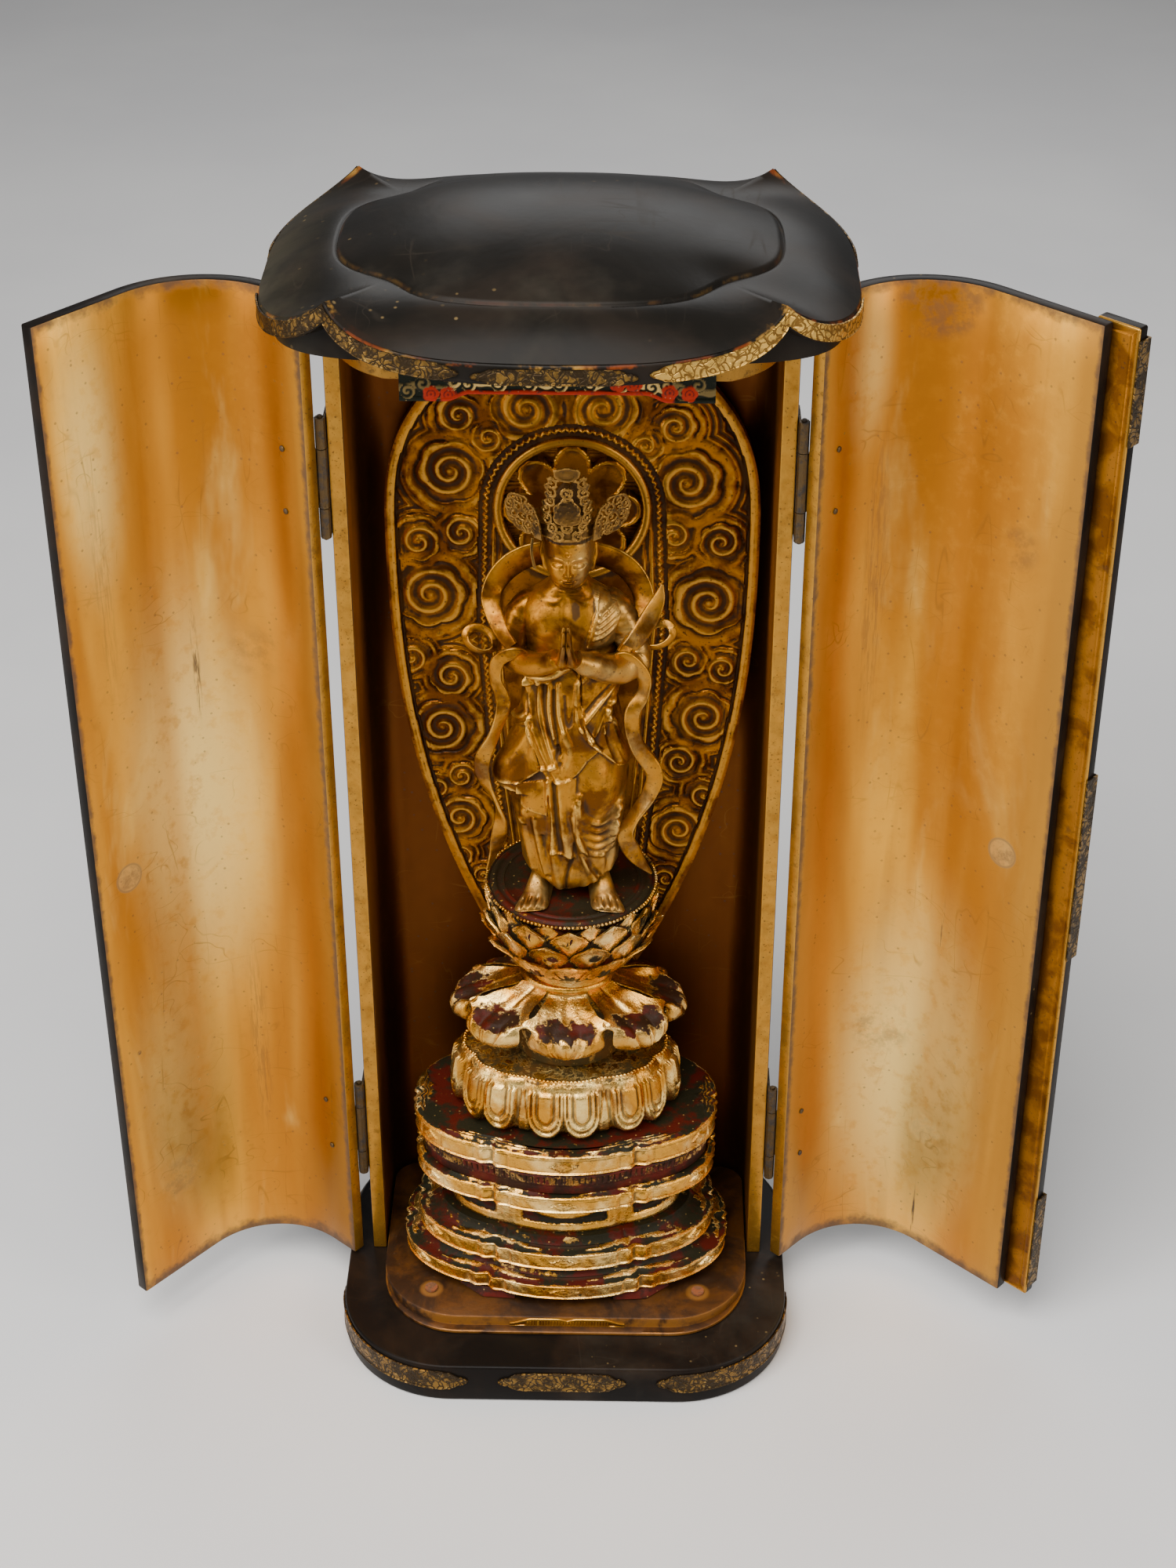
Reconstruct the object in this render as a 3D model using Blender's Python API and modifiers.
"""A lacquered household altar cabinet with two curved doors, and the gilt
standing figure, halo board and stepped lotus pedestal that it houses."""

import math

import bmesh
import bpy
from mathutils import Matrix, Vector

MM = 0.001
COLLECTION = "buddhist_home_altar"
CUTTERS = "cutters"

FLAT_ANGLE = math.radians(0.3)

# Fits
SEAT_GAP = 0.3 * MM
DOOR_GAP = 0.5 * MM
PIN_PLAY = 0.3 * MM

# Base slab
BASE_WIDTH = 180.0 * MM
BASE_DEPTH = 138.6 * MM
BASE_HEIGHT = 18.2 * MM
BASE_CORNER = 45.0 * MM
BASE_EDGE = 1.2 * MM

# Cabinet walls and doors
CABINET_WIDTH = 161.0 * MM
CABINET_HEIGHT = 424.6 * MM
WALL = 5.6 * MM
DOOR_WALL = 5.2 * MM
CABINET_CORNER = 39.0 * MM
BACK_CORNER = 16.0 * MM
JOINT_Y = -1.4 * MM
DOOR_DEPTH = 52.2 * MM
BACK_DEPTH = 53.4 * MM
DOOR_LIFT = 2.4 * MM
MEETING_X = -2.0 * MM
LEFT_OPEN = math.radians(130.5)
RIGHT_OPEN = math.radians(137.6)

# Meeting strip on the right door and its plates
STRIP_OVERLAP = 9.6 * MM
STRIP_BACK = 7.0 * MM
STRIP_THICKNESS = 5.2 * MM
PLATE_THICKNESS = 0.6 * MM
PLATE_SPANS = ((0.01, 0.10), (0.41, 0.60), (0.88, 0.99))
PLATE_WRAP = 6.0 * MM
PULL_RADIUS = 6.5 * MM
PULL_HEIGHT = 4.0 * MM
PULL_INSET = 20.0 * MM
PULL_Z = 221.0 * MM

# Hinges
HINGE_OFFSET = 2.1 * MM
KNUCKLE_RADIUS = 1.95 * MM
PIN_RADIUS = 0.9 * MM
LEAF_THICKNESS = 0.8 * MM
LEAF_REACH = 13.0 * MM
HINGE_LENGTH = 46.0 * MM
HINGE_BOTTOMS = {"lower": 60.5 * MM, "upper": 352.0 * MM}
MIDDLE_KNUCKLE = 0.5

# Floor plate and its screws
FLOOR_HEIGHT = 6.3 * MM
FLOOR_CLEARANCE = 0.9 * MM
FLANGE_HEIGHT = 1.7 * MM
FLANGE_REACH = 3.4 * MM
SCREW_RADIUS = 2.6 * MM
SCREW_HEIGHT = 0.9 * MM
SCREW_X = 54.0 * MM
SCREW_Y = -32.0 * MM

# Ceiling board and painted valance
CEILING_THICKNESS = 11.5 * MM
VALANCE_WIDTH = 101.6 * MM
VALANCE_THICKNESS = 2.2 * MM
VALANCE_CLEARANCE = 1.9 * MM
VALANCE_HEIGHT = 17.6 * MM
VALANCE_RISE = 2.6 * MM
VALANCE_FLAT = 28.0 * MM

# Roof
ROOF_HALF_X = 98.5 * MM
ROOF_HALF_Y = 75.6 * MM
ROOF_POWER = 3.0
ROOF_NOTCH = 0.033
ROOF_CORNER = math.radians(40.0)
RIM_HEIGHT = 6.9 * MM
HORN_RISE = 14.2 * MM
HORN_SPREAD = 16.0 * MM
NECK_HALF_X = 93.0 * MM
NECK_HALF_Y = 57.5 * MM
SKIRT_RISE = 12.3 * MM
DOME_HALF_X = 72.8 * MM
DOME_HALF_Y = 57.6 * MM
DOME_POWER = 2.6
DOME_NOTCH = 0.095
DOME_CORNER = math.radians(34.9)
DOME_STEP = 1.0 * MM
DOME_HEIGHT = 12.0 * MM
ROOF_STEPS = 48

# Metal fittings on the rim and the base
FITTING_THICKNESS = 0.6 * MM
RIM_BAND_INSET = 0.5 * MM
RIM_PLAQUE_WIDTH = 52.0 * MM
RIM_PLAQUE_HEIGHT = 5.4 * MM
BASE_PLAQUE_WIDTH = 51.0 * MM
BASE_PLAQUE_HEIGHT = 9.6 * MM
BASE_PLAQUE_Z = 11.0 * MM
BASE_BAND_Z = (6.4 * MM, 16.0 * MM)
BASE_BAND_START = 37.4 * MM
BASE_BAND_REACH = 30.0 * MM

# Pedestal
UPPER_X = 2.5 * MM
FOOT_HEIGHT = 4.0 * MM
FOOT_OUTLINE = ((20.0 * MM, 37.5 * MM), (33.0 * MM, 36.6 * MM), (42.5 * MM, 28.6 * MM), (42.5 * MM, 17.0 * MM),
                (20.0 * MM, 17.0 * MM))
FOOT_TOP_SHARE = 0.97
TIER_ASPECT = 0.63
TIER_LOBE = 0.045
LOBE_ENDS = (-29.0, 29.0, 90.0, 151.0, 209.0, 270.0, 331.0)
LOBE_STEPS = 5
BOTTOM_TIER_HALF = 68.3 * MM
BOTTOM_TIER_FACE = 7.5 * MM
BOTTOM_TIER_COVE = 4.6 * MM
THIRD_TIER_HALF = 62.2 * MM
THIRD_TIER_FACE = 8.6 * MM
THIRD_TIER_COVE = 5.2 * MM
DRUM_HALF = 48.2 * MM
DRUM_HEIGHT = 16.2 * MM
SECOND_TIER_HALF = 62.2 * MM
SECOND_TIER_HEIGHT = 8.4 * MM
SPACER_HALF = 58.7 * MM
SPACER_HEIGHT = 10.7 * MM
TOP_TIER_HALF = 62.5 * MM
TOP_TIER_HEIGHT = 10.1 * MM
TIER_COVE_INSET = 8.0 * MM
PETAL_BLOCK_HALF = 46.0 * MM
PETAL_BLOCK_ASPECT = 0.68
PETAL_BLOCK_HEIGHT = 27.1 * MM
LEAF_TIER_HALF = 46.0 * MM
LEAF_TIER_ASPECT = 0.7
LEAF_TIER_HEIGHT = 36.8 * MM
PETAL_COUNT = 8
LOTUS_RADIUS = 34.2 * MM
LOTUS_HEIGHT = 40.2 * MM
LOTUS_NECK_RADIUS = 17.5 * MM
LOTUS_Y = 1.6 * MM
LOTUS_PETALS = 12

# Halo board
BOARD_FRONT_Y = 37.4 * MM
BOARD_THICKNESS = 3.4 * MM
BOARD_HALF_WIDTH = 68.4 * MM
BOARD_TOP_GAP = 3.6 * MM
BOARD_WIDEST_SHARE = 0.7165
BOARD_TAIL_Z = 100.0 * MM
BOARD_STEM_HALF = 12.0 * MM
BOARD_STEM_Z = 128.0 * MM
BOARD_RIM = 2.6 * MM
BOARD_RELIEF = 1.6 * MM
HALO_OVER_WIDEST = 9.0 * MM
HALO_RADIUS = 27.4 * MM
HALO_RING = 3.4 * MM
HALO_HOLES = 8
# Cloud whorls of the right half, as shares of the board's half width, its
# height above the widest line and its half width: across, up and radius
WHORL_SIDES = 5
WHORLS = (
    (0.20, 0.710, 0.165),
    (0.57, 0.655, 0.105),
    (0.41, 0.535, 0.085),
    (0.63, 0.325, 0.165),
    (0.57, -0.010, 0.095),
    (0.81, -0.060, 0.100),
    (0.755, -0.400, 0.175),
    (0.865, -0.800, 0.090),
    (0.65, -0.845, 0.100),
    (0.73, -1.190, 0.150),
    (0.615, -1.510, 0.085),
    (0.755, -1.650, 0.085),
    (0.62, -1.880, 0.140),
    (0.53, -2.230, 0.075),
)

# Standing figure: FIGURE_HEIGHT is from the soles to the crown of the head
FIGURE_HEIGHT = 159.0 * MM
FIGURE_X = 2.2 * MM
FIGURE_Y = -3.0 * MM
FIGURE_UNIT = FIGURE_HEIGHT / 159.0
BODY_STEPS = 20
FIGURE_FLAT_ANGLE = math.radians(4.0)
CROWN_SEAT = 153.6 * MM
CROWN_CENTRE_Y = -4.2 * MM
CROWN_RADIUS = 9.8 * MM
CROWN_LENGTHENED = 1.3 * MM
CROWN_THICKNESS = 0.9 * MM
CROWN_BAND = 6.0 * MM
CROWN_PLAQUE_RISE = 24.0 * MM
CROWN_WING_RISE = 11.0 * MM
CROWN_LEAN = 1.2 * MM
CROWN_PLAQUE_LEAN = 1.6 * MM
CROWN_WING_LEAN = 7.6 * MM
CROWN_REACH = math.radians(100)
CROWN_COLUMNS = 28

# Heights of the stack, each on the one below
CABINET_BOTTOM = BASE_HEIGHT + SEAT_GAP
CABINET_TOP = CABINET_BOTTOM + CABINET_HEIGHT
BOARD_TOP_Z = CABINET_TOP - CEILING_THICKNESS - BOARD_TOP_GAP
BOARD_WIDEST_Z = BOARD_TAIL_Z + (BOARD_TOP_Z - BOARD_TAIL_Z) * BOARD_WIDEST_SHARE
HALO_Z = BOARD_WIDEST_Z + HALO_OVER_WIDEST
DOOR_BOTTOM = BASE_HEIGHT + DOOR_LIFT
DOOR_TOP = CABINET_TOP
ROOF_BOTTOM = CABINET_TOP + SEAT_GAP
EAVE_Z = ROOF_BOTTOM + RIM_HEIGHT + 0.2 * MM
FLOOR_BOTTOM = BASE_HEIGHT + SEAT_GAP
FLOOR_TOP = FLOOR_BOTTOM + FLOOR_HEIGHT
HINGE_X = CABINET_WIDTH / 2 + HINGE_OFFSET
DOOR_FRONT_Y = JOINT_Y - DOOR_DEPTH


def clear_scene():
    """Remove every object, so that the file can be run again and again."""
    for item in list(bpy.data.objects):
        bpy.data.objects.remove(item, do_unlink=True)


def make_collection(name):
    collection = bpy.data.collections.new(name)
    bpy.context.scene.collection.children.link(collection)
    return collection


def make_material(name, colour, roughness, metallic):
    material = bpy.data.materials.new(name)
    material.use_nodes = True
    shader = material.node_tree.nodes["Principled BSDF"]
    shader.inputs["Base Color"].default_value = (*colour, 1.0)
    shader.inputs["Roughness"].default_value = roughness
    shader.inputs["Metallic"].default_value = metallic
    return material


def add_mesh_object(name, mesh, material, collection):
    item = bpy.data.objects.new(name, mesh)
    mesh.materials.clear()
    mesh.materials.append(material)
    collection.objects.link(item)
    return item


def shade_round(mesh, angle=35.0):
    mesh.shade_smooth()
    mesh.set_sharp_from_angle(angle=math.radians(angle))


def extruded_outline(name, outlines, low, high, material, collection):
    """Extrude flat closed outlines, the first filled and the rest cut out of it."""
    curve = bpy.data.curves.new(name, "CURVE")
    curve.dimensions = "2D"
    curve.fill_mode = "BOTH"
    curve.extrude = (high - low) / 2
    for outline in outlines:
        spline = curve.splines.new("POLY")
        spline.points.add(len(outline) - 1)
        spline.use_cyclic_u = True
        for point, place in zip(spline.points, outline):
            point.co = (place[0], place[1], 0.0, 1.0)
    source = bpy.data.objects.new(name + "_outline", curve)
    source.location.z = (low + high) / 2
    collection.objects.link(source)
    bpy.context.view_layer.update()
    depsgraph = bpy.context.evaluated_depsgraph_get()
    mesh = bpy.data.meshes.new_from_object(source.evaluated_get(depsgraph))
    mesh.transform(source.matrix_world)
    bpy.data.objects.remove(source, do_unlink=True)
    weld(mesh)
    return add_mesh_object(name, mesh, material, collection)


def weld(mesh):
    """Join the loose caps of a converted curve to its sides."""
    shape = bmesh.new()
    shape.from_mesh(mesh)
    bmesh.ops.remove_doubles(shape, verts=shape.verts, dist=1e-6)
    bmesh.ops.recalc_face_normals(shape, faces=shape.faces)
    shape.to_mesh(mesh)
    shape.free()


def ring_loft(name, rings, material, collection, tip=None):
    """Bridge closed rings of equal length, low to high, and close both ends.

    A tip closes the upper end in a point; otherwise a flat fan does."""
    shape = bmesh.new()
    rows = [[shape.verts.new(place) for place in ring] for ring in rings]
    steps = len(rows[0])
    for lower, upper in zip(rows, rows[1:]):
        for i in range(steps):
            j = (i + 1) % steps
            shape.faces.new((lower[i], lower[j], upper[j], upper[i]))
    for row, apex in ((rows[0], None), (rows[-1], tip)):
        if apex is None:
            apex = sum((vert.co for vert in row), Vector()) / steps
        centre = shape.verts.new(apex)
        for i in range(steps):
            shape.faces.new((row[i], row[(i + 1) % steps], centre))
    bmesh.ops.recalc_face_normals(shape, faces=shape.faces)
    mesh = bpy.data.meshes.new(name)
    shape.to_mesh(mesh)
    shape.free()
    shade_round(mesh)
    return add_mesh_object(name, mesh, material, collection)


def cylinder(name, radius, low, high, material, collection, centre=(0.0, 0.0), sides=12):
    bpy.ops.mesh.primitive_cylinder_add(vertices=sides, radius=radius, depth=high - low,
                                        location=(centre[0], centre[1], (low + high) / 2))
    item = bpy.context.object
    item.name = name
    item.data.transform(Matrix.Translation(item.location))
    item.location = (0.0, 0.0, 0.0)
    return move_to(item, material, collection)


def box(name, low, high, material, collection):
    size = [b - a for a, b in zip(low, high)]
    centre = [(a + b) / 2 for a, b in zip(low, high)]
    bpy.ops.mesh.primitive_cube_add(size=1.0)
    item = bpy.context.object
    item.name = name
    item.data.transform(Matrix.Translation(centre) @ Matrix.Diagonal((*size, 1.0)))
    return move_to(item, material, collection)


def move_to(item, material, collection):
    """Put a primitive into the model's collection with its material."""
    for owner in list(item.users_collection):
        owner.objects.unlink(item)
    collection.objects.link(item)
    item.data.materials.clear()
    item.data.materials.append(material)
    return item


def combine(base, others, operation, solver="EXACT", flat=FLAT_ANGLE):
    """Join others to base, or cut them from it, and keep one plain mesh."""
    material = base.data.materials[0]
    for other in others:
        modifier = base.modifiers.new(operation.lower(), "BOOLEAN")
        modifier.operation = operation
        modifier.solver = solver
        modifier.object = other
        bpy.context.view_layer.update()
        depsgraph = bpy.context.evaluated_depsgraph_get()
        mesh = bpy.data.meshes.new_from_object(base.evaluated_get(depsgraph))
        base.modifiers.clear()
        tidy_mesh(mesh, flat if other is others[-1] else FLAT_ANGLE)
        mesh.materials.clear()
        mesh.materials.append(material)
        base.data = mesh
        bpy.data.objects.remove(other, do_unlink=True)
    return base


def tidy_mesh(mesh, flat):
    """Merge slivers and flat neighbours that a cut leaves, and make plain triangles."""
    shape = bmesh.new()
    shape.from_mesh(mesh)
    bmesh.ops.remove_doubles(shape, verts=shape.verts, dist=2e-6)
    bmesh.ops.dissolve_degenerate(shape, edges=shape.edges, dist=2e-6)
    bmesh.ops.dissolve_limit(shape, angle_limit=flat, verts=shape.verts, edges=shape.edges)
    bmesh.ops.triangulate(shape, faces=shape.faces)
    shape.to_mesh(mesh)
    shape.free()


# Outlines


def arc(centre, radius, start, end, steps):
    """Points of an arc, angles in degrees."""
    points = []
    for i in range(steps + 1):
        angle = math.radians(start + (end - start) * i / steps)
        points.append((centre[0] + radius * math.cos(angle), centre[1] + radius * math.sin(angle)))
    return points


def rounded_rectangle(width, depth, corner, steps=8):
    points = []
    for quarter, (side_x, side_y) in enumerate(((1, 1), (-1, 1), (-1, -1), (1, -1))):
        centre = (side_x * (width / 2 - corner), side_y * (depth / 2 - corner))
        points += arc(centre, corner, 90 * quarter, 90 * quarter + 90, steps)
    return points


def door_line(half_width, depth, corner, start_y, end_x, steps=8):
    """Plan line of the left door, closed: down the side, round the corner, across."""
    front = JOINT_Y - depth
    points = [(-half_width, start_y)]
    points += arc((-half_width + corner, front + corner), corner, 180, 270, steps)
    points.append((end_x, front))
    return points


def inner_outline(inset, setback=0.0, steps=7):
    """Outline that follows the inside of the walls and the closed doors at a distance."""
    half = CABINET_WIDTH / 2 - WALL - inset
    corner = CABINET_CORNER - WALL - inset
    front = DOOR_FRONT_Y + DOOR_WALL + inset + setback
    back = JOINT_Y + BACK_DEPTH - WALL - inset
    rear = BACK_CORNER - WALL - inset
    points = arc((half - rear, back - rear), rear, 0, 90, steps - 3)
    points += arc((rear - half, back - rear), rear, 90, 180, steps - 3)
    points += arc((corner - half, front + corner), corner, 180, 270, steps)
    points += arc((half - corner, front + corner), corner, 270, 360, steps)
    return points


def superellipse(half_x, half_y, power, angle):
    cos_a = math.cos(angle)
    sin_a = math.sin(angle)
    reach = (abs(cos_a / half_x) ** power + abs(sin_a / half_y) ** power) ** (-1 / power)
    return Vector((reach * cos_a, reach * sin_a))


def roof_angle(step, corner):
    """Angle of a roof spoke: a whole number of steps lands on each corner."""
    turn = step / ROOF_STEPS * 4
    quarter = int(turn)
    share = turn - quarter
    if quarter % 2:
        share = 1 - share
    notch = 5 / 12
    if share < notch:
        angle = corner * share / notch
    else:
        angle = corner + (math.pi / 2 - corner) * (share - notch) / (1 - notch)
    base = (quarter + quarter % 2) * math.pi / 2
    return base - angle if quarter % 2 else base + angle


def corner_distance(step):
    """Steps from a spoke to the nearest corner spoke."""
    quarter = ROOF_STEPS / 4
    share = (step % quarter) / quarter
    if int(step / quarter) % 2:
        share = 1 - share
    return abs(share - 5 / 12) * quarter


def eave_point(step):
    notch = ROOF_NOTCH * math.exp(-corner_distance(step) / 0.7)
    return superellipse(ROOF_HALF_X, ROOF_HALF_Y, ROOF_POWER, roof_angle(step, ROOF_CORNER)) * (1 - notch)


def eave_height(step):
    quarter = int(step / (ROOF_STEPS / 4))
    corner_x = math.copysign(1, math.cos((quarter + 0.5) * math.pi / 2))
    corner_y = math.copysign(1, math.sin((quarter + 0.5) * math.pi / 2))
    tip = superellipse(ROOF_HALF_X, ROOF_HALF_Y, ROOF_POWER, ROOF_CORNER) * (1 - ROOF_NOTCH)
    reach = (eave_point(step) - Vector((tip.x * corner_x, tip.y * corner_y))).length
    return EAVE_Z + HORN_RISE * math.exp(-reach / HORN_SPREAD)


def dome_point(step):
    notch = DOME_NOTCH * math.exp(-(corner_distance(step) / 1.6) ** 2)
    return superellipse(DOME_HALF_X, DOME_HALF_Y, DOME_POWER, roof_angle(step, DOME_CORNER)) * (1 - notch)


def lobed_point(half_x, half_y, lobe, share):
    """Point of a six-lobed oval; lobe counts from the front one, share runs along it."""
    angle = LOBE_ENDS[lobe] + (LOBE_ENDS[lobe + 1] - LOBE_ENDS[lobe]) * share
    bulge = 1 - TIER_LOBE * (2 * share - 1) ** 2
    turn = math.radians(angle)
    return half_x * bulge * math.sin(turn), -half_y * bulge * math.cos(turn)


def lobed_outline(half_x, inset=0.0, aspect=TIER_ASPECT):
    points = []
    for lobe in range(len(LOBE_ENDS) - 1):
        for step in range(LOBE_STEPS):
            points.append(lobed_point(half_x - inset, half_x * aspect - inset, lobe, step / LOBE_STEPS))
    return points


def lobed_tier(name, half_x, profile, material, collection):
    """Stack of lobed outlines: the profile gives the inset and the height of each."""
    rings = [[(x, y, z) for x, y in lobed_outline(half_x, inset)] for inset, z in profile]
    return ring_loft(name, rings, material, collection)


# Cabinet


def add_base(parts, metal, lacquer):
    outline = rounded_rectangle(BASE_WIDTH, BASE_DEPTH, BASE_CORNER, steps=7)
    slab = extruded_outline("base_slab", [outline], 0.0, BASE_HEIGHT, lacquer, parts)
    bevel = slab.modifiers.new("edge", "BEVEL")
    bevel.width = BASE_EDGE
    bevel.segments = 1
    bevel.limit_method = "ANGLE"
    bevel.angle_limit = math.radians(60)
    front = -BASE_DEPTH / 2 - SEAT_GAP
    low = BASE_PLAQUE_Z - BASE_PLAQUE_HEIGHT / 2
    plaque = flat_plaque("base_centre_plaque", BASE_PLAQUE_WIDTH, BASE_PLAQUE_HEIGHT, metal, parts)
    plaque.location = (0.0, front, low + BASE_PLAQUE_HEIGHT / 2)
    for end, side_y in (("front", -1), ("back", 1)):
        for hand, side_x in (("left", -1), ("right", 1)):
            add_base_band(f"base_{end}_{hand}_fitting", side_x, side_y, metal, parts)


def flat_plaque(name, width, height, material, collection):
    """Upright plate with ogee ends, its back on y = 0 and its middle at the origin."""
    half = width / 2
    point = height * 0.5
    outline = [(-half, 0.0), (-half + point, height / 2), (half - point, height / 2)]
    outline += [(half, 0.0), (half - point, -height / 2), (-half + point, -height / 2)]
    plate = extruded_outline(name, [outline], 0.0, FITTING_THICKNESS, material, collection)
    plate.data.transform(Matrix.Rotation(math.pi / 2, 4, "X"))
    return plate


def add_base_band(name, side_x, side_y, material, collection):
    """Metal band round one corner of the base, from the front to the side."""
    near = BASE_CORNER + SEAT_GAP
    far = near + FITTING_THICKNESS
    centre = (BASE_WIDTH / 2 - BASE_CORNER, BASE_DEPTH / 2 - BASE_CORNER)
    inner = arc(centre, near, 0, 90, 8)
    outer = arc(centre, far, 0, 90, 8)
    end_y = centre[1] + BASE_CORNER - BASE_BAND_REACH - BASE_CORNER / 2
    start = (BASE_BAND_START, centre[1])
    outline = [(centre[0] + near, end_y)] + inner + [(start[0], start[1] + near)]
    outline += [(start[0], start[1] + far)] + outer[::-1] + [(centre[0] + far, end_y)]
    outline = [(side_x * x, side_y * y) for x, y in outline]
    extruded_outline(name, [outline], *BASE_BAND_Z, material, collection)


def add_floor(parts, gilt, iron):
    upper = inner_outline(FLOOR_CLEARANCE)
    front = DOOR_FRONT_Y + DOOR_WALL + FLOOR_CLEARANCE
    lower = [(x, y - FLANGE_REACH * smooth_share(-y, -JOINT_Y, -front)) for x, y in upper]
    rings = []
    step_z = FLOOR_BOTTOM + FLANGE_HEIGHT
    levels = ((lower, FLOOR_BOTTOM), (lower, step_z), (upper, step_z + 0.4 * MM), (upper, FLOOR_TOP))
    for outline, z in levels:
        rings.append([(x, y, z) for x, y in outline])
    ring_loft("floor_plate", rings, gilt, parts)
    for hand, side in (("left", -1), ("right", 1)):
        seat = FLOOR_TOP + SEAT_GAP
        cylinder(f"floor_screw_{hand}", SCREW_RADIUS, seat, seat + SCREW_HEIGHT, iron, parts,
                 centre=(side * SCREW_X, SCREW_Y), sides=10)


def smooth_share(value, low, high):
    share = min(max((value - low) / (high - low), 0.0), 1.0)
    return share * share * (3 - 2 * share)


def add_shell(parts, lacquer):
    """Back and both sides of the cabinet, one bent board open at the front."""
    half = CABINET_WIDTH / 2
    back = JOINT_Y + BACK_DEPTH
    front = JOINT_Y + DOOR_GAP / 2

    def line(inset):
        corner = BACK_CORNER - inset
        points = [(half - inset, front)]
        points += arc((half - BACK_CORNER, back - BACK_CORNER), corner, 0, 90, 5)
        points += arc((BACK_CORNER - half, back - BACK_CORNER), corner, 90, 180, 5)
        points.append((inset - half, front))
        return points

    outline = line(0.0) + line(WALL)[::-1]
    extruded_outline("cabinet_shell", [outline], CABINET_BOTTOM, CABINET_TOP, lacquer, parts)


def add_ceiling(parts, gilt, paint):
    """Gilt ceiling board that the doors close against, with the painted valance on it."""
    front = DOOR_FRONT_Y + DOOR_WALL + VALANCE_CLEARANCE
    setback = VALANCE_CLEARANCE - FLOOR_CLEARANCE + VALANCE_THICKNESS + SEAT_GAP
    outline = inner_outline(FLOOR_CLEARANCE, setback=setback)
    low = CABINET_TOP - CEILING_THICKNESS
    extruded_outline("ceiling_board", [outline], low, CABINET_TOP, gilt, parts)
    half = VALANCE_WIDTH / 2
    top = CABINET_TOP - 0.5 * MM
    bottom = top - VALANCE_HEIGHT
    foot = VALANCE_FLAT + VALANCE_RISE * 3
    right = [(half, top), (half, bottom), (foot, bottom)]
    for i in range(1, 4):
        share = i / 4
        rise = VALANCE_RISE * smooth_share(share, 0, 1)
        right.append((foot - (foot - VALANCE_FLAT) * share, bottom + rise))
    right.append((VALANCE_FLAT, bottom + VALANCE_RISE))
    outline = right + [(-x, z) for x, z in reversed(right)]
    valance = extruded_outline("painted_valance", [outline], 0.0, VALANCE_THICKNESS, paint, parts)
    valance.data.transform(Matrix.Rotation(math.pi / 2, 4, "X"))
    valance.location.y = front + VALANCE_THICKNESS


# Doors and hinges


def add_pivot(name, side, open_angle, parts):
    """Empty on the hinge axis, turned by the angle that the door stands open."""
    pivot = bpy.data.objects.new(name, None)
    pivot.location = (side * HINGE_X, JOINT_Y, 0.0)
    pivot.rotation_euler.z = side * open_angle
    parts.objects.link(pivot)
    return pivot


def hang_on(item, pivot):
    """Move a piece built in the closed place so that it turns with the door."""
    item.data.transform(Matrix.Translation((-pivot.location.x, -pivot.location.y, 0.0)))
    item.parent = pivot


def door_outline(side, end_x):
    """Plan of one closed door, from its hinge edge at the side to its meeting edge."""
    half = CABINET_WIDTH / 2
    edge = JOINT_Y - DOOR_GAP / 2
    outer = door_line(half, DOOR_DEPTH, CABINET_CORNER, edge, -side * end_x)
    corner = CABINET_CORNER - DOOR_WALL
    inner = door_line(half - DOOR_WALL, DOOR_DEPTH - DOOR_WALL, corner, edge, -side * end_x)
    return [(-side * x, y) for x, y in outer + inner[::-1]]


def add_doors(parts, lacquer, metal, pivots):
    ends = {"left": MEETING_X - DOOR_GAP / 2, "right": MEETING_X + DOOR_GAP / 2}
    for hand, side in (("left", -1), ("right", 1)):
        outline = door_outline(side, ends[hand])
        door = extruded_outline(f"{hand}_door", [outline], DOOR_BOTTOM, DOOR_TOP, lacquer, parts)
        hang_on(door, pivots[hand])
        pull = door_pull(f"{hand}_door_pull", side, metal, parts)
        hang_on(pull, pivots[hand])
    add_meeting_strip(parts, lacquer, metal, pivots["right"])


def door_pull(name, side, material, collection):
    """Round metal boss turned from its profile, set on the door's outer face."""
    profile = [(0.0, PULL_HEIGHT), (0.35, PULL_HEIGHT * 0.9), (0.42, PULL_HEIGHT * 0.45), (0.9, 0.9 * MM),
               (1.0, 0.0)]
    rings = []
    for share, height in reversed(profile[1:]):
        ring = []
        for i in range(12):
            turn = math.radians(30 * i)
            ring.append((share * PULL_RADIUS * math.cos(turn), -height, share * PULL_RADIUS * math.sin(turn)))
        rings.append(ring)
    boss = ring_loft(name, rings, material, collection, tip=(0.0, -PULL_HEIGHT, 0.0))
    place = Vector((side * PULL_INSET + MEETING_X, DOOR_FRONT_Y - SEAT_GAP, PULL_Z))
    boss.data.transform(Matrix.Translation(place))
    return boss


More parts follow.
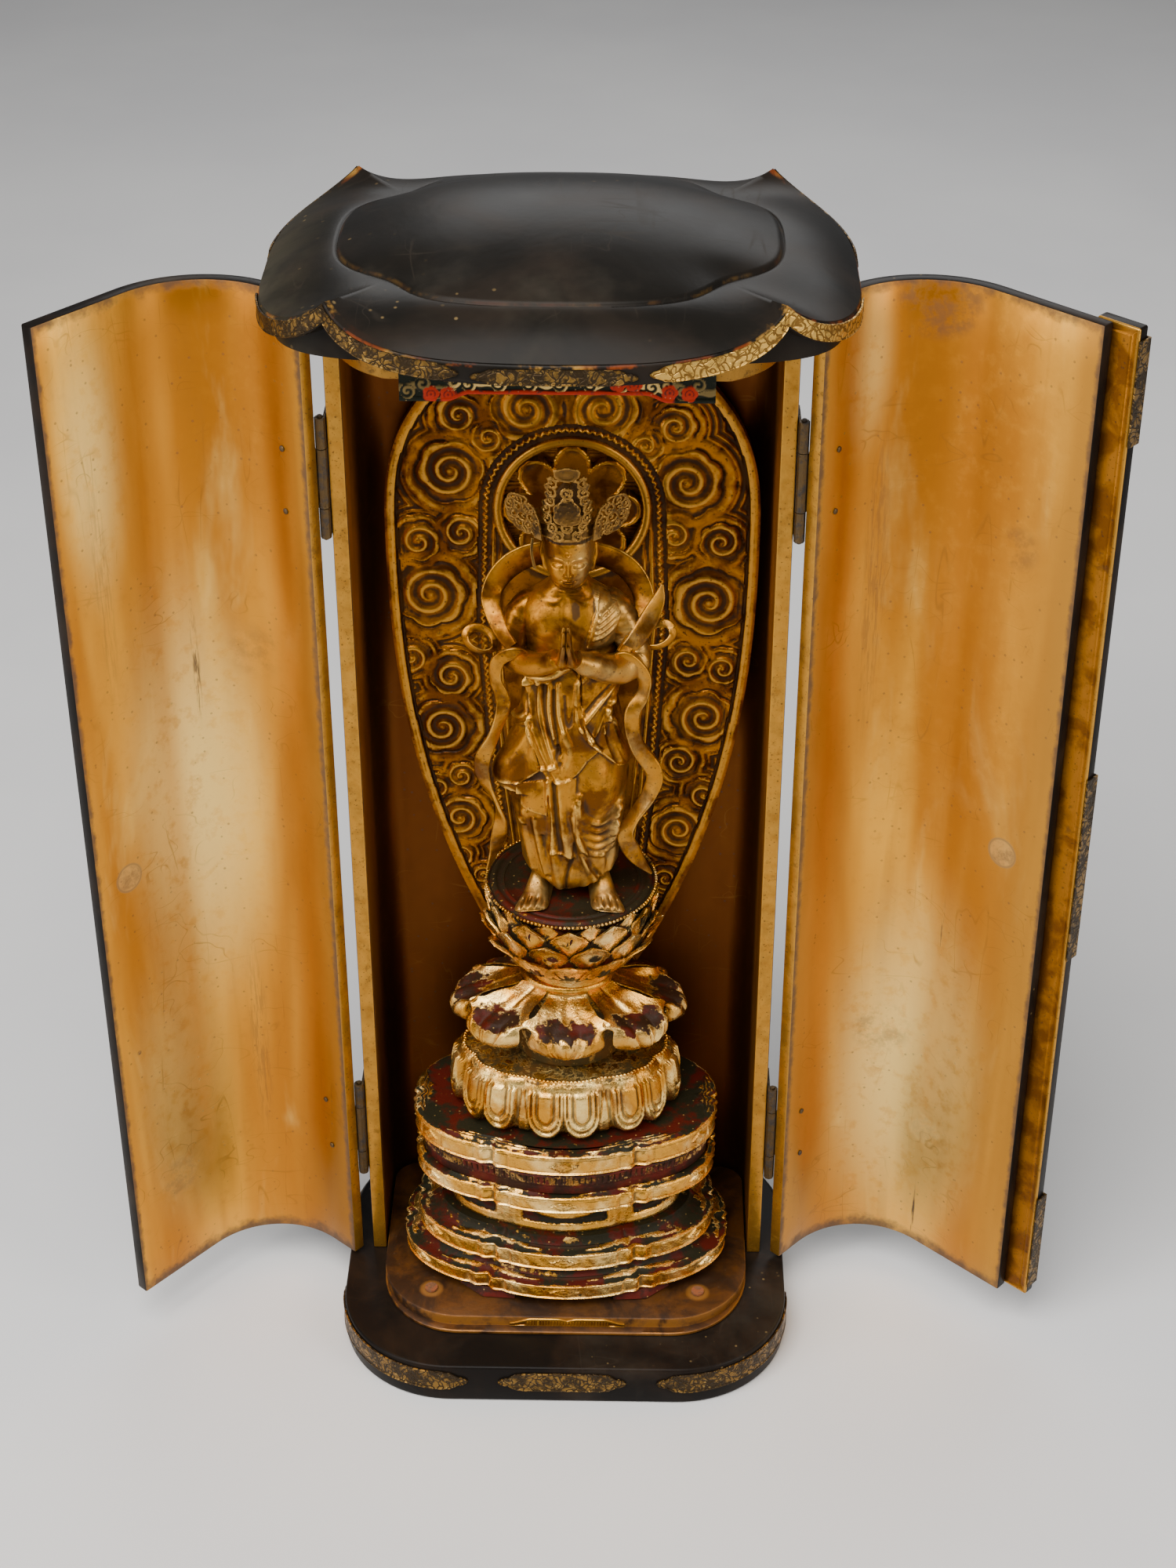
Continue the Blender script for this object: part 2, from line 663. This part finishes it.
def add_meeting_strip(parts, lacquer, metal, pivot):
    """Moulded batten on the right door that covers the joint when both are shut."""
    face = DOOR_FRONT_Y - SEAT_GAP
    left = MEETING_X - STRIP_OVERLAP
    right = MEETING_X + STRIP_BACK
    thick = STRIP_THICKNESS
    outline = [(left, face), (left, face - thick * 0.6), (left + thick * 0.25, face - thick)]
    outline += [(left + thick, face - thick), (left + thick * 1.2, face - thick * 0.8)]
    outline += [(right - thick * 0.3, face - thick * 0.8), (right, face - thick * 0.4), (right, face)]
    strip = extruded_outline("meeting_strip", [outline], DOOR_BOTTOM, DOOR_TOP, lacquer, parts)
    hang_on(strip, pivot)
    height = DOOR_TOP - DOOR_BOTTOM
    near = left - SEAT_GAP
    far = near - PLATE_THICKNESS
    skin = face - thick - SEAT_GAP
    for i, (low, high) in enumerate(PLATE_SPANS):
        outline = [(near, face), (near, skin), (near + PLATE_WRAP, skin)]
        outline += [(near + PLATE_WRAP, skin - PLATE_THICKNESS), (far, skin - PLATE_THICKNESS), (far, face)]
        plate = extruded_outline(f"strip_plate_{i + 1}", [outline], DOOR_BOTTOM + height * (1 - high),
                                 DOOR_BOTTOM + height * (1 - low), metal, parts)
        hang_on(plate, pivot)


def add_hinges(parts, cutters, metal, pivots):
    for hand, side in (("left", -1), ("right", 1)):
        for level, bottom in HINGE_BOTTOMS.items():
            name = f"{level}_{hand}_hinge"
            add_hinge(name, side, bottom, parts, cutters, metal, pivots[hand])


def add_hinge(name, side, bottom, parts, cutters, metal, pivot):
    """Butt hinge: the door's leaf carries the middle knuckle, the post's leaf the outer two."""
    axis = (side * HINGE_X, JOINT_Y)
    near = side * (CABINET_WIDTH / 2 + SEAT_GAP)
    far = near + side * LEAF_THICKNESS
    low_x, high_x = sorted((near, far))
    clear = KNUCKLE_RADIUS + 0.3 * MM
    outer = HINGE_LENGTH * (1 - MIDDLE_KNUCKLE) / 2
    top = bottom + HINGE_LENGTH
    spans = {"door": [(bottom + outer + PIN_PLAY, top - outer - PIN_PLAY)],
             "post": [(bottom, bottom + outer), (top - outer, top)]}
    for leaf, pieces in spans.items():
        away = -1 if leaf == "door" else 1
        reach = sorted((axis[1] + away * clear, axis[1] + away * LEAF_REACH))
        plate = box(f"{name}_{leaf}_leaf", (low_x, reach[0], bottom), (high_x, reach[1], top), metal, parts)
        joined = []
        for low, high in pieces:
            joined.append(cylinder("knuckle", KNUCKLE_RADIUS, low, high, metal, cutters, axis, 8))
            arm = sorted((axis[1], axis[1] + away * (clear + 1.0 * MM)))
            joined.append(box("arm", (low_x, arm[0], low), (high_x, arm[1], high), metal, cutters))
        plate = combine(plate, joined, "UNION")
        bore = cylinder("bore", PIN_RADIUS + PIN_PLAY, bottom - 1 * MM, top + 1 * MM, metal, cutters, axis, 6)
        plate = combine(plate, [bore], "DIFFERENCE")
        if leaf == "door":
            hang_on(plate, pivot)
    cylinder(f"{name}_pin", PIN_RADIUS, bottom - 0.8 * MM, top + 0.8 * MM, metal, parts, axis, 6)


# Roof


def add_roof(parts, lacquer, metal):
    steps = range(ROOF_STEPS)
    eaves = [eave_point(step) for step in steps]
    heights = [eave_height(step) for step in steps]
    domes = [dome_point(step) for step in steps]
    necks = [superellipse(NECK_HALF_X, NECK_HALF_Y, 5.0, roof_angle(step, ROOF_CORNER)) for step in steps]
    dome_base = EAVE_Z + SKIRT_RISE
    rings = [[(p.x, p.y, ROOF_BOTTOM) for p in necks]]
    rings.append([(p.x, p.y, z - RIM_HEIGHT) for p, z in zip(necks, heights)])
    rings.append([(p.x, p.y, z - RIM_HEIGHT) for p, z in zip(eaves, heights)])
    for share in (0.0, 0.4, 1.0):
        ring = []
        for eave, dome, z in zip(eaves, domes, heights):
            place = eave.lerp(dome, share)
            ring.append((place.x, place.y, dome_base + (z - dome_base) * (1 - share) ** 1.7))
        rings.append(ring)
    for share in (0.975, 0.8, 0.48):
        z = dome_base + DOME_STEP + DOME_HEIGHT * (1 - share ** 2.6)
        rings.append([(p.x * share, p.y * share, z) for p in domes])
    top = (0.0, 0.0, dome_base + DOME_STEP + DOME_HEIGHT)
    ring_loft("roof", rings, lacquer, parts, tip=top)
    plaque = flat_plaque("rim_centre_plaque", RIM_PLAQUE_WIDTH, RIM_PLAQUE_HEIGHT, metal, parts)
    plaque.location = (0.0, -ROOF_HALF_Y - SEAT_GAP, EAVE_Z - RIM_HEIGHT / 2)
    quarter = ROOF_STEPS // 4
    spans = {"back_right": (1, 9), "back_left": (quarter + 3, quarter + 11),
             "front_left": (2 * quarter + 1, 2 * quarter + 9),
             "front_right": (3 * quarter + 3, 3 * quarter + 11)}
    for place, (first, last) in spans.items():
        add_rim_band(f"rim_{place}_fitting", first, last, metal, parts)


def add_rim_band(name, first, last, material, collection):
    """Metal band that follows the rim round one horned corner."""
    rings = []
    for step in range(first, last + 1):
        point = eave_point(step)
        before = eave_point(step - 1)
        after = eave_point(step + 1)
        along = (after - before).normalized()
        away = Vector((along.y, -along.x))
        top = eave_height(step) - RIM_BAND_INSET
        low = top - RIM_HEIGHT + 2 * RIM_BAND_INSET
        bite = 1.25
        near = point + away * SEAT_GAP * bite
        far = near + away * FITTING_THICKNESS
        rings.append([(near.x, near.y, low), (near.x, near.y, top), (far.x, far.y, top), (far.x, far.y, low)])
    ring_loft(name, rings, material, collection)


# Pedestal


def add_pedestal(parts, gilt, dark):
    """Stack of lobed tiers, from the feet up; returns the height of its top."""
    seat = FLOOR_TOP + SEAT_GAP
    for i, (side_x, side_y) in enumerate(((-1, -1), (1, -1), (-1, 1), (1, 1))):
        add_foot(f"pedestal_foot_{i + 1}", side_x, side_y, seat, dark, parts)
    z = seat + FOOT_HEIGHT + SEAT_GAP
    z = coved_tier("bottom_tier", BOTTOM_TIER_HALF, z, BOTTOM_TIER_FACE, BOTTOM_TIER_COVE, gilt, parts)
    z = coved_tier("third_tier", THIRD_TIER_HALF, z, THIRD_TIER_FACE, THIRD_TIER_COVE, gilt, parts)
    z = add_drum(z, gilt, parts)
    z = plain_tier("second_tier", SECOND_TIER_HALF, z, SECOND_TIER_HEIGHT, gilt, parts)
    spacer = [(0.0, z), (0.0, z + SPACER_HEIGHT * 0.45), (-0.8 * MM, z + SPACER_HEIGHT * 0.5),
              (-2.0 * MM, z + SPACER_HEIGHT)]
    lobed_tier("ribbed_spacer", SPACER_HALF, spacer, dark, parts)
    z += SPACER_HEIGHT + SEAT_GAP
    return plain_tier("top_tier", TOP_TIER_HALF, z, TOP_TIER_HEIGHT, gilt, parts)


def add_foot(name, side_x, side_y, seat, material, collection):
    """Low five-sided block under one corner of the stack, a little smaller at its top."""
    outline = [(side_x * x, side_y * y) for x, y in FOOT_OUTLINE]
    if side_x == side_y:
        outline.reverse()
    rings = []
    for share, z in ((1.0, seat), (FOOT_TOP_SHARE, seat + FOOT_HEIGHT)):
        rings.append([(x * share, y * share, z) for x, y in outline])
    ring_loft(name, rings, material, collection)


def coved_tier(name, half, z, face, cove, material, collection):
    """Tier with an upright face and a hollow moulding that narrows above it."""
    top = z + face + cove
    profile = [(0.6 * MM, z), (0.0, z + face)]
    profile.append((TIER_COVE_INSET * 0.55, z + face + cove * 0.3))
    profile.append((TIER_COVE_INSET, top - 0.4 * MM))
    lobed_tier(name, half, profile, material, collection)
    return top - 0.4 * MM + SEAT_GAP


def plain_tier(name, half, z, height, material, collection):
    top = z + height
    profile = [(0.8 * MM, z), (0.0, z + height * 0.3), (0.2 * MM, top - 1.4 * MM), (1.2 * MM, top)]
    lobed_tier(name, half, profile, material, collection)
    return top + SEAT_GAP


def add_drum(z, material, collection):
    """Waist of the pedestal, with a hollow panel sunk in the face of each lobe."""
    rings = []
    panel = (0, 1, 1, 1, 1)
    for share, depth in ((0.0, 0.0), (0.22, 0.0), (0.3, 1.0), (0.72, 1.0), (0.8, 0.0), (1.0, 0.0)):
        ring = []
        for lobe in range(len(LOBE_ENDS) - 1):
            for step in range(LOBE_STEPS):
                inset = 2.6 * MM * depth * panel[step]
                depth_y = DRUM_HALF * TIER_ASPECT - inset
                x, y = lobed_point(DRUM_HALF - inset, depth_y, lobe, step / LOBE_STEPS)
                ring.append((x, y, z + DRUM_HEIGHT * share))
        rings.append(ring)
    ring_loft("pedestal_drum", rings, material, collection)
    return z + DRUM_HEIGHT + SEAT_GAP


def petal_wave(turn, count, sharp=1.0):
    """1 in the middle of each petal and 0 in the valley between two."""
    return abs(math.cos(turn * count / 2)) ** sharp


def add_petal_block(z, material, collection):
    """Lobed block whose petals hang over its edge."""
    profile = ((0.0, 0.88, 0.05), (0.12, 0.95, 0.09), (0.4, 0.985, 0.08),
               (0.85, 0.96, 0.03), (1.0, 0.93, 0.02))
    return waved_turning("petal_block", PETAL_BLOCK_HALF, PETAL_BLOCK_ASPECT, z, PETAL_BLOCK_HEIGHT,
                         profile, PETAL_COUNT, 0.6, 32, 0.0, (0.0, 0.0), material, collection)


def add_leaf_tier(z, material, collection):
    """Curled leaves that spread from under the lotus, with rounded drooping tips."""
    profile = ((0.0, 0.60, 0.0), (0.36, 0.68, 0.03), (0.42, 0.9, 0.24), (0.62, 1.0, 0.27),
               (0.80, 0.9, 0.22), (0.9, 0.62, 0.08), (1.0, 0.40, 0.0))
    return waved_turning("leaf_tier", LEAF_TIER_HALF, LEAF_TIER_ASPECT, z, LEAF_TIER_HEIGHT,
                         profile, PETAL_COUNT, 0.55, 40, 0.0, (UPPER_X / 2, 0.0), material, collection)


def add_lotus(z, material, collection):
    """Round lotus seat: overlapping rows of petals below a plain rim and a flat top."""
    neck = LOTUS_NECK_RADIUS / LOTUS_RADIUS
    profile = ((0.0, neck, 0.0), (0.2, neck * 1.1, 0.0), (0.27, 0.68, 0.05), (0.46, 0.88, 0.07),
               (0.5, 0.86, -0.05), (0.7, 0.985, -0.05), (0.74, 0.96, 0.045), (0.9, 1.01, 0.03),
               (1.0, 0.965, 0.0))
    return waved_turning("lotus_seat", LOTUS_RADIUS, 1.0, z, LOTUS_HEIGHT, profile, LOTUS_PETALS, 1.0,
                         2 * LOTUS_PETALS, 0.0, (UPPER_X, LOTUS_Y), material, collection)


def waved_turning(name, half, aspect, z, height, profile, count, sharp, steps, phase, centre,
                  material, collection):
    """Turned shape whose radius swells at each petal; returns the height of the next seat.

    The profile gives the share of the height, the share of the radius and the
    swell of the petals there; a negative swell shifts the row by half a petal."""
    rings = []
    for up, out, swell in profile:
        ring = []
        for i in range(steps):
            turn = 2 * math.pi * i / steps + phase
            shift = math.pi / count if swell < 0 else 0.0
            reach = out + abs(swell) * (petal_wave(turn + shift, count, sharp) - 1)
            x = centre[0] + half * reach * math.sin(turn)
            y = centre[1] - half * aspect * reach * math.cos(turn)
            ring.append((x, y, z + height * up))
        rings.append(ring)
    ring_loft(name, rings, material, collection)
    return z + height + SEAT_GAP


# Halo board


def board_half_width(z):
    """Half width of the boat-shaped board at a height."""
    if z >= BOARD_WIDEST_Z:
        rise = (z - BOARD_WIDEST_Z) / (BOARD_TOP_Z - BOARD_WIDEST_Z)
        return BOARD_HALF_WIDTH * (1 - rise ** 2.8)
    fall = (BOARD_WIDEST_Z - z) / (BOARD_WIDEST_Z - BOARD_TAIL_Z)
    return max(BOARD_HALF_WIDTH * (1 - fall ** 2.4), BOARD_STEM_HALF)


def board_outline(inset, foot_z):
    """Outline of the board across and up, from the foot round the tip."""
    levels = [foot_z, BOARD_STEM_Z - 14 * MM]
    count = 9
    for i in range(count + 1):
        levels.append(BOARD_STEM_Z + (BOARD_WIDEST_Z - BOARD_STEM_Z) * i / count)
    for share in (0.22, 0.42, 0.58, 0.72, 0.84, 0.94):
        levels.append(BOARD_WIDEST_Z + (BOARD_TOP_Z - BOARD_WIDEST_Z) * share)
    right = [(board_half_width(z) - inset, z) for z in levels]
    tip = [(0.0, BOARD_TOP_Z - inset * 1.6)]
    return right + tip + [(-x, z) for x, z in reversed(right)]


def upright(item, front):
    """Stand a plate that was drawn flat on its edge, with its face at a given depth."""
    item.data.transform(Matrix.Translation((UPPER_X, front, 0.0)) @ Matrix.Rotation(math.pi / 2, 4, "X"))


def add_halo_board(seat, parts, cutters, gilt):
    board = extruded_outline("halo_board", [board_outline(0.0, seat)], -BOARD_THICKNESS, 0.0, gilt, parts)
    upright(board, BOARD_FRONT_Y)
    rim_outer = [point for point in board_outline(0.0, seat) if point[1] > BOARD_STEM_Z]
    rim_inner = [point for point in board_outline(BOARD_RIM, seat) if point[1] > BOARD_STEM_Z]
    sunk = -1.0 * MM
    rim = extruded_outline("rim", [rim_outer + rim_inner[::-1]], sunk, BOARD_RELIEF, gilt, cutters)
    upright(rim, BOARD_FRONT_Y)
    joined = [rim]
    ring = [arc((0.0, HALO_Z), HALO_RADIUS, 0, 360, 20)[:-1],
            arc((0.0, HALO_Z), HALO_RADIUS - HALO_RING, 0, 360, 20)[:-1]]
    halo = extruded_outline("halo", ring, sunk, BOARD_RELIEF, gilt, cutters)
    upright(halo, BOARD_FRONT_Y)
    joined.append(halo)
    for across, up, radius in WHORLS:
        for side in (-1, 1):
            joined.append(whorl_boss(side * across * BOARD_HALF_WIDTH,
                                     BOARD_WIDEST_Z + up * BOARD_HALF_WIDTH,
                                     radius * BOARD_HALF_WIDTH * 0.85, gilt, cutters))
    board = combine(board, joined, "UNION")
    holes = []
    for i in range(HALO_HOLES):
        turn = 2 * math.pi * (i + 0.5) / HALO_HOLES
        reach = HALO_RADIUS * 0.66
        hole = cylinder("hole", HALO_RADIUS * 0.17, -10 * MM, 10 * MM, gilt, cutters,
                        (reach * math.cos(turn), HALO_Z + reach * math.sin(turn)), 6)
        upright(hole, BOARD_FRONT_Y)
        holes.append(hole)
    combine(board, holes, "DIFFERENCE")


def whorl_boss(x, z, radius, material, collection):
    """Low domed boss in place of one carved cloud whorl."""
    rings = []
    for share, lift in ((1.1, -1.0 * MM), (0.62, BOARD_RELIEF * 1.2)):
        round_line = arc((0, 0), radius, 0, 360, WHORL_SIDES)[:-1]
        rings.append([(x + px * share, z + pz * share, lift) for px, pz in round_line])
    boss = ring_loft("whorl", rings, material, collection)
    upright(boss, BOARD_FRONT_Y)
    return boss


# Figure


def figure_place(x, y, z, seat):
    """World place of a point given in figure units from between the soles."""
    unit = FIGURE_UNIT
    return Vector((FIGURE_X + x * unit, FIGURE_Y + y * unit, seat + z * unit))


def tube(name, path, radii, flat, seat, material, collection, sides=8):
    """Round or flattened limb through points in figure units.

    flat is the share of the radius across the path's level direction."""
    places = [figure_place(*point, seat) for point in path]
    rings = []
    for i, place in enumerate(places):
        ahead = places[min(i + 1, len(places) - 1)]
        behind = places[max(i - 1, 0)]
        along = (ahead - behind).normalized()
        across = along.cross(Vector((0.0, 1.0, 0.25))).normalized()
        other = across.cross(along).normalized()
        wide = radii[i] * FIGURE_UNIT
        ring = []
        for k in range(sides):
            turn = 2 * math.pi * (k + 0.5) / sides
            ring.append(place + across * (wide * math.cos(turn)) + other * (wide * flat * math.sin(turn)))
        rings.append(ring)
    return ring_loft(name, rings, material, collection)


# Sections of the body in figure units: height, half width, half depth,
# centre across, centre in depth and depth of the folds
BODY_SECTIONS = (
    (4.5, 17.5, 11.0, 0.2, -1.0, 0.6),
    (8.0, 19.5, 12.5, 0.2, -1.5, 1.4),
    (22.0, 20.0, 13.5, 0.0, -1.5, 1.2),
    (36.0, 21.0, 14.0, -0.2, -1.5, 0.8),
)
APRON_SECTIONS = (
    (0.0, 21.5, 14.2, -0.4, -1.5, 0.6),
    (1.5, 24.4, 16.6, -0.4, -1.5, 1.6),
    (14.0, 22.5, 15.4, -0.3, -1.5, 1.4),
    (28.0, 18.5, 13.0, 0.2, -1.0, 1.0),
    (39.0, 15.6, 11.4, 0.5, -0.5, 0.4),
)
TORSO_SECTIONS = (
    (92.0, 16.4, 12.0, 0.5, -0.5, 0.0),
    (97.0, 15.2, 11.0, 0.5, 0.0, 0.0),
    (106.0, 16.0, 11.4, 0.5, 0.0, 0.0),
    (114.0, 18.2, 11.6, 0.3, 0.5, 0.0),
    (120.5, 19.2, 10.0, 0.2, 1.0, 0.0),
    (125.5, 14.0, 8.0, 0.2, 1.0, 0.0),
    (128.5, 6.6, 6.6, 0.2, 0.0, 0.0),
    (136.0, 5.8, 6.2, 0.2, -1.5, 0.0),
)
APRON_HEM = 49.0
APRON_HEIGHT = 45.0


def hem_height(turn):
    """Height of the apron's hem round the body: points at the middle and both hips."""
    front = math.cos(turn)
    return APRON_HEM + 5.0 * abs(math.sin(1.5 * turn)) * (0.6 + 0.4 * front)


def body_ring(section, seat, base=None):
    up, half_x, half_y, centre_x, centre_y, fold = section
    ring = []
    for i in range(BODY_STEPS):
        turn = 2 * math.pi * i / BODY_STEPS
        ripple = fold * math.cos(turn * BODY_STEPS / 2)
        share = up / APRON_HEIGHT
        z = up if base is None else up + base(turn) * (1 - share) + APRON_HEM * share
        x = centre_x + (half_x + ripple) * math.sin(turn)
        y = centre_y - (half_y + ripple) * math.cos(turn)
        ring.append(figure_place(x, y, z, seat))
    return ring


def add_figure(seat, parts, cutters, gilt):
    """Standing figure with joined palms, carved with its skirts and scarves."""
    rings = [body_ring(section, seat) for section in BODY_SECTIONS]
    rings += [body_ring(section, seat, hem_height) for section in APRON_SECTIONS]
    rings += [body_ring(section, seat) for section in TORSO_SECTIONS]
    body = ring_loft("figure", rings, gilt, parts)
    pieces = [add_head(seat, gilt, cutters)]
    pieces += add_arms(seat, gilt, cutters)
    pieces += add_feet(seat, gilt, cutters)
    pieces += add_scarves(seat, gilt, cutters)
    combine(body, pieces, "UNION", solver="MANIFOLD", flat=FIGURE_FLAT_ANGLE)


def add_head(seat, material, collection):
    """Oval head with a plain nose, a chin and a topknot in one rounded shape."""
    sections = ((133.2, 3.2, 3.4, -9.4), (135.0, 5.6, 7.0, -7.2), (139.0, 7.9, 9.2, -5.6),
                (145.0, 9.2, 10.6, -4.6), (151.0, 9.3, 10.8, -4.2), (156.0, 7.4, 8.6, -4.0),
                (158.6, 4.6, 5.2, -3.8), (163.0, 4.9, 5.2, -3.4), (168.0, 3.4, 3.6, -3.2))
    rings = []
    for up, half_x, half_y, centre_y in sections:
        ring = []
        for i in range(14):
            turn = 2 * math.pi * i / 14
            nose = 1.5 if i == 0 and 139.0 <= up <= 145.0 else 0.0
            x = half_x * math.sin(turn)
            y = centre_y - (half_y + nose) * math.cos(turn)
            ring.append(figure_place(x, y, up, seat))
        rings.append(ring)
    return ring_loft("head", rings, material, collection, tip=figure_place(0.0, -3.0, 170.0, seat))


def add_arms(seat, material, collection):
    left = tube("left_arm", [(-15.0, 1.0, 120.0), (-18.5, -1.0, 112.0), (-20.0, -4.0, 102.5),
                             (-14.0, -12.0, 103.0), (-3.5, -22.5, 111.5)],
                [5.0, 5.4, 5.0, 4.6, 3.0], 1.0, seat, material, collection)
    right = tube("right_arm", [(15.0, 1.0, 120.0), (20.0, -1.0, 112.0), (23.5, -5.0, 100.0),
                               (16.0, -13.0, 101.5), (4.0, -22.5, 111.0)],
                 [5.0, 5.6, 5.2, 4.8, 3.2], 1.0, seat, material, collection)
    hands = tube("hands", [(-0.4, -21.5, 109.5), (-0.4, -24.5, 116.0), (-0.4, -26.0, 121.0),
                           (-0.4, -27.0, 125.5)],
                 [3.6, 3.3, 2.6, 1.0], 1.3, seat, material, collection, sides=6)
    return [left, right, hands]


def add_feet(seat, material, collection):
    feet = []
    for x, splay in ((-9.5, -2.2), (11.8, 2.6)):
        feet.append(tube("foot", [(x - splay, 0.0, 5.6), (x - splay * 0.4, -6.0, 5.4),
                                  (x + splay * 0.6, -13.5, 3.2), (x + splay, -17.6, 2.2)],
                         [4.6, 5.4, 6.4, 5.2], 0.5, seat, material, collection, sides=8))
    for foot in feet:
        for vert in foot.data.vertices:
            if vert.co.z < seat + 1.2 * FIGURE_UNIT:
                vert.co.z = seat
    return feet


def add_scarves(seat, material, collection):
    """Long scarves: behind the neck, over both forearms and down to the lotus."""
    behind = [(-22.0, -6.0, 110.0), (-28.5, 1.0, 117.0), (-29.0, 6.0, 124.0), (-20.0, 9.0, 132.0),
              (-9.0, 9.0, 135.5), (9.0, 9.0, 135.5), (19.0, 9.0, 132.0), (27.0, 6.0, 123.0),
              (27.0, -1.0, 114.0), (19.0, -12.0, 106.0)]
    left_fall = [(-12.0, -8.0, 107.0), (-20.0, -12.5, 107.0), (-24.5, -11.0, 103.0), (-26.0, -10.5, 96.0),
                 (-22.5, -12.0, 86.0), (-27.0, -11.5, 69.0), (-31.5, -11.0, 59.0), (-29.0, -9.0, 46.0),
                 (-25.5, -8.0, 32.0), (-28.0, -5.0, 18.0), (-31.0, -4.0, 8.0)]
    right_fall = [(14.0, -9.0, 106.0), (22.0, -13.0, 104.0), (26.0, -11.5, 97.0), (27.0, -11.5, 90.0),
                  (22.5, -13.0, 82.0), (24.5, -12.0, 68.0), (31.5, -10.0, 55.0), (26.0, -9.5, 41.0),
                  (20.5, -9.5, 29.0), (23.5, -7.0, 18.0), (29.5, -4.0, 8.0)]
    ribbons = [tube("scarf", behind, [3.4] * len(behind), 0.36, seat, material, collection, 6)]
    for path in (left_fall, right_fall):
        radii = [3.5] * (len(path) - 1) + [1.8]
        ribbons.append(tube("fall", path, radii, 0.36, seat, material, collection, 6))
    return ribbons


def add_crown(seat, parts, metal):
    """Thin metal crown round the brow: a tall front plaque between two spread wings."""
    rings = []
    for i in range(CROWN_COLUMNS + 1):
        turn = CROWN_REACH * (2 * i / CROWN_COLUMNS - 1)
        front = math.exp(-(turn / 0.55) ** 6)
        wing = math.exp(-((abs(turn) - 1.2) / 0.42) ** 6)
        rise = CROWN_BAND + CROWN_PLAQUE_RISE * front + CROWN_WING_RISE * wing
        lean = CROWN_LEAN + CROWN_PLAQUE_LEAN * front + CROWN_WING_LEAN * wing
        outer = CROWN_RADIUS + CROWN_THICKNESS
        ring = []
        corners = ((CROWN_RADIUS, 0.0), (outer, 0.0), (outer + lean, rise), (CROWN_RADIUS + lean, rise))
        for radius, up in corners:
            x = FIGURE_X + radius * math.sin(turn)
            y = FIGURE_Y + CROWN_CENTRE_Y - (radius + CROWN_LENGTHENED) * math.cos(turn)
            ring.append((x, y, seat + CROWN_SEAT + up))
        rings.append(ring)
    ring_loft("crown", rings, metal, parts)


def build():
    clear_scene()
    parts = make_collection(COLLECTION)
    cutters = make_collection(CUTTERS)
    lacquer = make_material("black_lacquer", (0.022, 0.016, 0.013), 0.28, 0.0)
    gilt = make_material("gold_leaf", (0.72, 0.46, 0.14), 0.38, 0.85)
    dull_gilt = make_material("dull_gilt", (0.48, 0.29, 0.09), 0.45, 0.7)
    dark = make_material("worn_bole", (0.14, 0.045, 0.03), 0.55, 0.0)
    fitting = make_material("dark_gilt_copper", (0.20, 0.13, 0.05), 0.4, 0.8)
    iron = make_material("rusty_iron", (0.16, 0.07, 0.03), 0.7, 0.4)
    paint = make_material("painted_wood", (0.06, 0.07, 0.045), 0.6, 0.0)
    add_base(parts, fitting, lacquer)
    add_floor(parts, dull_gilt, iron)
    add_shell(parts, lacquer)
    add_ceiling(parts, dull_gilt, paint)
    pivots = {"left": add_pivot("left_door_axis", -1, LEFT_OPEN, parts),
              "right": add_pivot("right_door_axis", 1, RIGHT_OPEN, parts)}
    add_doors(parts, lacquer, fitting, pivots)
    add_hinges(parts, cutters, fitting, pivots)
    add_roof(parts, lacquer, fitting)
    tier_top = add_pedestal(parts, gilt, dark)
    z = add_petal_block(tier_top, gilt, parts)
    z = add_leaf_tier(z, gilt, parts)
    z = add_lotus(z, gilt, parts)
    add_halo_board(tier_top, parts, cutters, dull_gilt)
    add_figure(z, parts, cutters, dull_gilt)
    add_crown(z, parts, fitting)


build()
